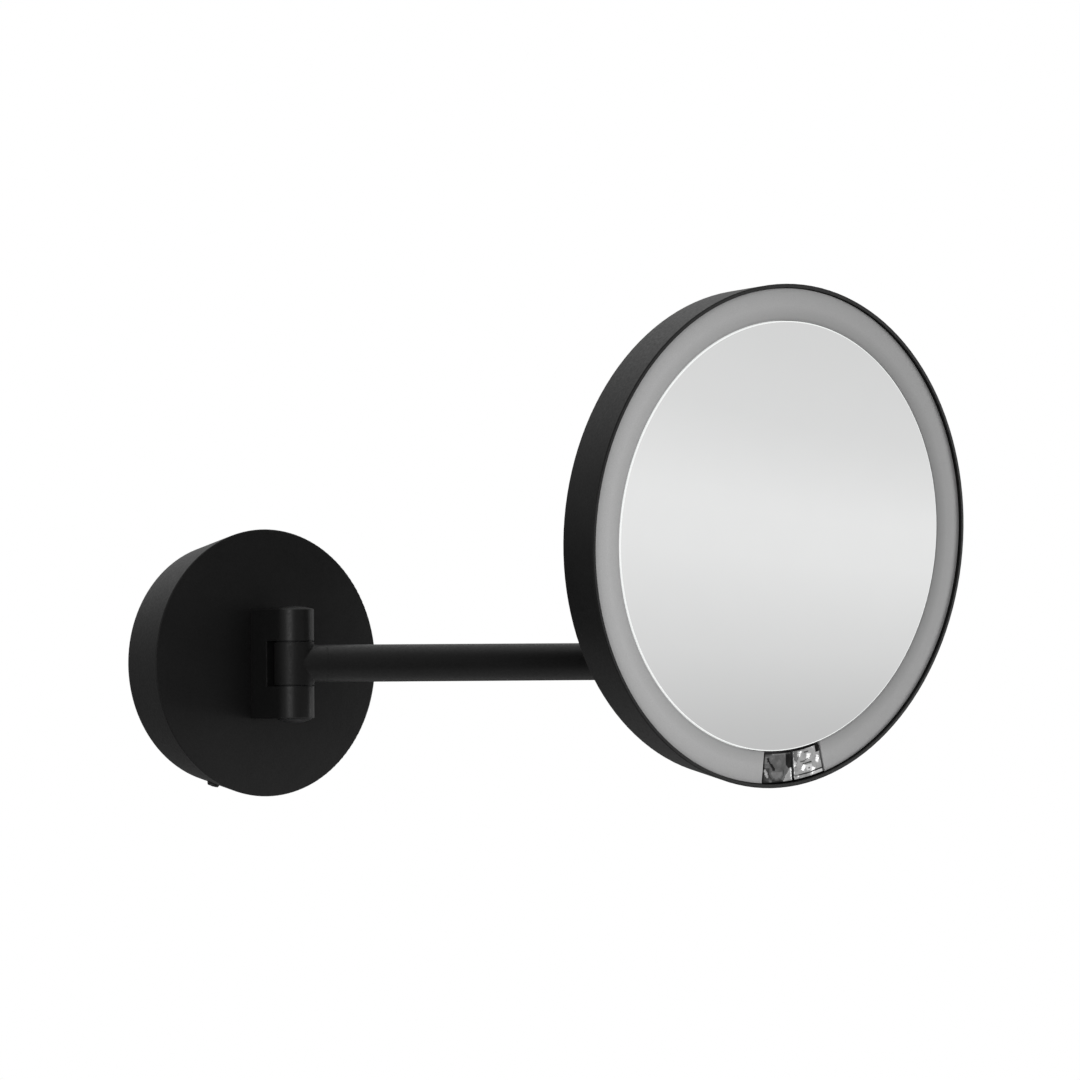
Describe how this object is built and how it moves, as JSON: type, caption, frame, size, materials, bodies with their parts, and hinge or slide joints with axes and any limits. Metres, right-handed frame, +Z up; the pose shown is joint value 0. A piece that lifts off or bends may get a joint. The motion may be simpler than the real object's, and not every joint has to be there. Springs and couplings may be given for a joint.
{
  "type": "extendable shaving mirror",
  "caption": "Wall-mounted round shaving mirror with a frosted light ring and touch-free sensor, on a swing-out arm with swivel and tilt joints.",
  "frame": {"origin": "where the axis of the round base meets the wall plane", "axes": "+Z up, +X along the wall to the viewer's right, +Y into the wall; the object stands out towards -Y"},
  "size_m": [0.3246, 0.1956, 0.2165],
  "materials": {
    "black_metal": "satin black powder coat",
    "dark_bracket": "satin black powder coat",
    "steel": "zinc plated steel",
    "brass": "plain brass",
    "rubber": "matt black rubber",
    "foam": "matt closed-cell foam",
    "black_plastic": "matt black moulded plastic",
    "white_plastic": "matt white moulded plastic",
    "diffuser": "frosted light-diffusing acrylic",
    "mirror": "silvered glass with a polished bevel",
    "clear": "clear glossy acrylic",
    "pcb_white": "white solder mask",
    "pcb_green": "green solder mask",
    "led": "phosphor-filled LED package",
    "chip": "dark epoxy component body",
    "sensor_lens": "grey infrared-filter epoxy",
    "wire": "white PVC insulation"
  },
  "bodies": {
    "base": {"gasket_ring": "foam", "wall_plate": "steel", "inlet_grommet": "rubber", "base_cover": "black_metal", "cover_fixing_screw": "black_metal", "fixing_tab": "steel", "driver_case": "white_plastic", "driver_lid": "white_plastic", "terminal_block": "white_plastic", "terminal_screws": "steel", "base_lead": "wire", "wall_fork": "dark_bracket", "fork_screws": "steel", "wall_pin": "steel", "wall_hinge_washers": "black_plastic", "wall_cap_top": "dark_bracket", "wall_cap_bottom": "black_plastic"},
    "arm": {"arm_knuckle_wall": "dark_bracket", "arm_tube": "black_metal", "arm_knuckle_head": "dark_bracket", "arm_lead": "wire"},
    "head_swivel": {"swivel_fork": "dark_bracket", "swivel_pin": "steel", "swivel_washers": "black_plastic", "swivel_cap_top": "dark_bracket", "swivel_cap_bottom": "black_plastic"},
    "mirror_head": {"head_ring": "black_metal", "head_back": "black_metal", "back_screws": "black_metal", "tilt_bracket": "dark_bracket", "bracket_screws": "black_metal", "bracket_nuts": "steel", "tilt_screw": "black_metal", "tilt_nut": "black_metal", "tilt_washers": "steel", "diffuser_ring": "diffuser", "mirror_glass": "mirror", "mirror_tray": "white_plastic", "mirror_pad": "foam", "led_board": "pcb_white", "led_chips": "led", "reflector_band": "white_plastic", "sensor_holder": "black_plastic", "sensor_window": "clear", "sensor_divider": "black_plastic", "sensor_boards": "pcb_green", "sensor_receiver": "sensor_lens", "sensor_emitter": "led", "control_board": "pcb_green", "board_parts": "chip", "board_spacers": "white_plastic", "head_lead": "wire"}
  },
  "joints": [
    {"name": "arm_swing", "type": "hinge", "parent": "base", "child": "arm", "pos_m": [0, -0.0504, -0.0005], "axis": [0, 0, -1], "range_deg": [-26, 152]},
    {"name": "head_swivel_turn", "type": "hinge", "parent": "arm", "child": "head_swivel", "pos_m": [0.15715, -0.1302, -0.0005], "axis": [0, 0, 1], "range_deg": [-29, 149]},
    {"name": "head_tilt", "type": "hinge", "parent": "head_swivel", "child": "mirror_head", "pos_m": [0.15806, -0.14918, -0.0005], "axis": [0.9989, 0.0477, 0], "range_deg": [-39, 30]}
  ]
}
